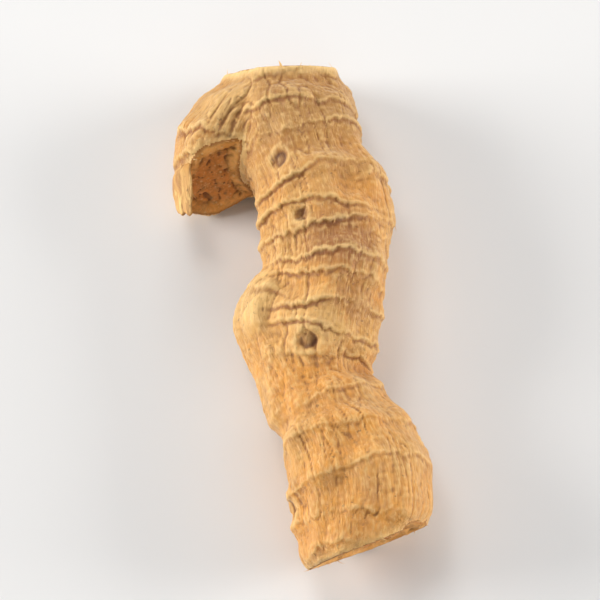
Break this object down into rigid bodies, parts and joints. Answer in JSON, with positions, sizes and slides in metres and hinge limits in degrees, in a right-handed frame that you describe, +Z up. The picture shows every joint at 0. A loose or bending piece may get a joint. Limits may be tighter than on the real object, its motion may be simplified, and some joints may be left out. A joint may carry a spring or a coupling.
{
  "type": "dried galangal root",
  "caption": "Dried galangal rhizome lying flat: a knobbly ringed stem with a hooked side arm, a side bud, a swollen lower body, root scars and flat cut ends.",
  "frame": {"origin": "on the surface that the root lies on, under the middle of its bounding box", "axes": "+X across the root, towards the side away from the cut arm; +Y along the root, towards the head; +Z up"},
  "size_m": [0.0262, 0.0602, 0.0122],
  "materials": {
    "dried_root": "matte"
  },
  "bodies": {
    "root": {"galangal_root": "dried_root"}
  },
  "joints": []
}
